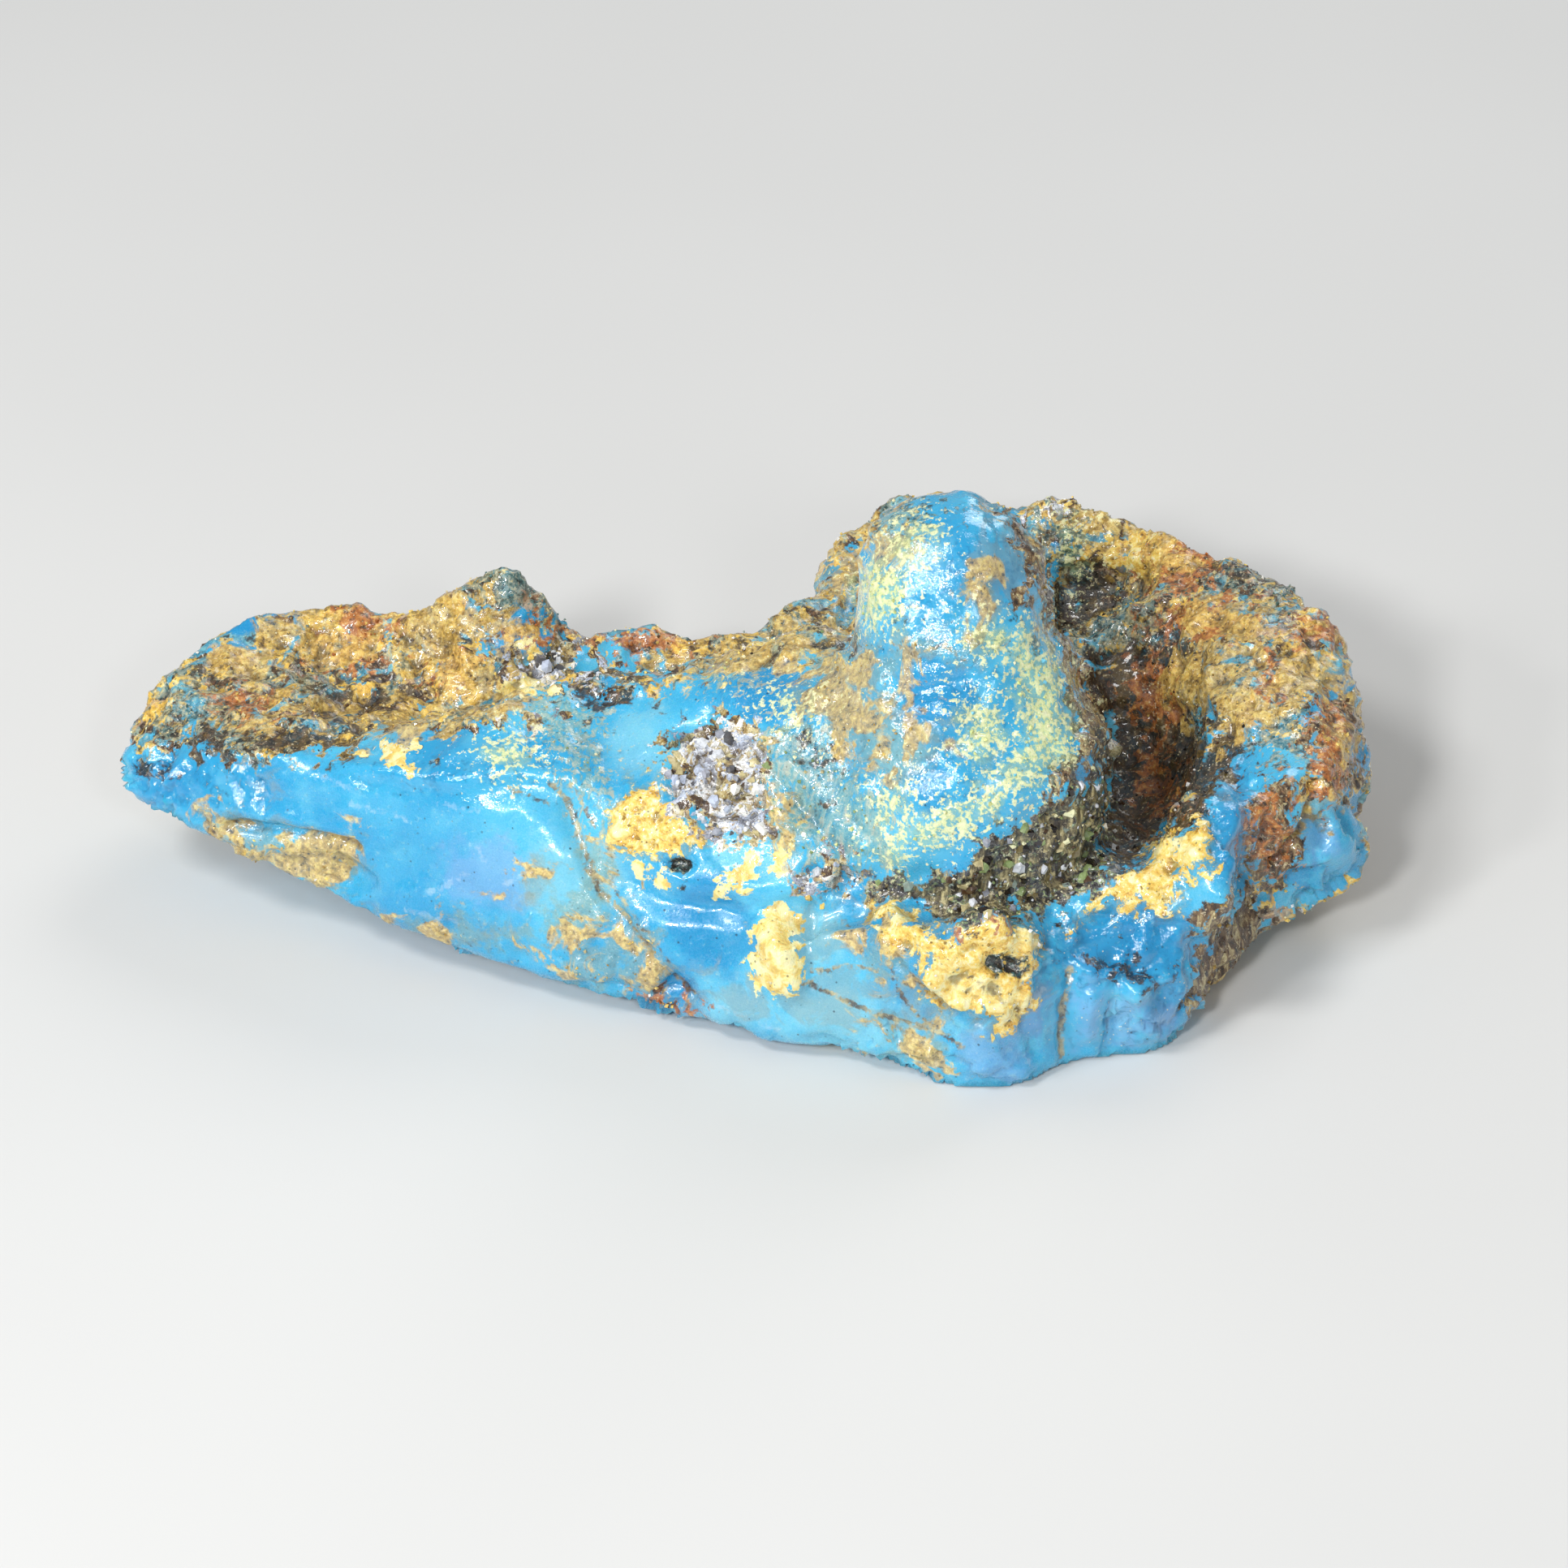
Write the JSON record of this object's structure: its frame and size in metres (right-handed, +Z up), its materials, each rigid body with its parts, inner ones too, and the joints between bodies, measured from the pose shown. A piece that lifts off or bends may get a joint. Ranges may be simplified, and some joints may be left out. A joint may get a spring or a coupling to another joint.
{
  "type": "rough blue amber",
  "caption": "Rough lump of blue amber in its weathered crust: a wedge with a basin, a tall rounded knob at the front and a deep hollow behind it, lying on a flat broken facet.",
  "frame": {"origin": "middle of the bounding box in plan, at the level of the flat facet it lies on", "axes": "+X along the length, from the thin end of the wedge to its thick end, +Y from the clean broken front face to the back, +Z up, from the resting facet to the knob's tip"},
  "size_m": [0.0582, 0.0358, 0.0226],
  "materials": {
    "blue_amber": "waxy and partly wet blue resin, with a mottled ochre, brown and grey weathered crust"
  },
  "bodies": {
    "root": {"blue_amber_lump": "blue_amber"}
  },
  "joints": []
}
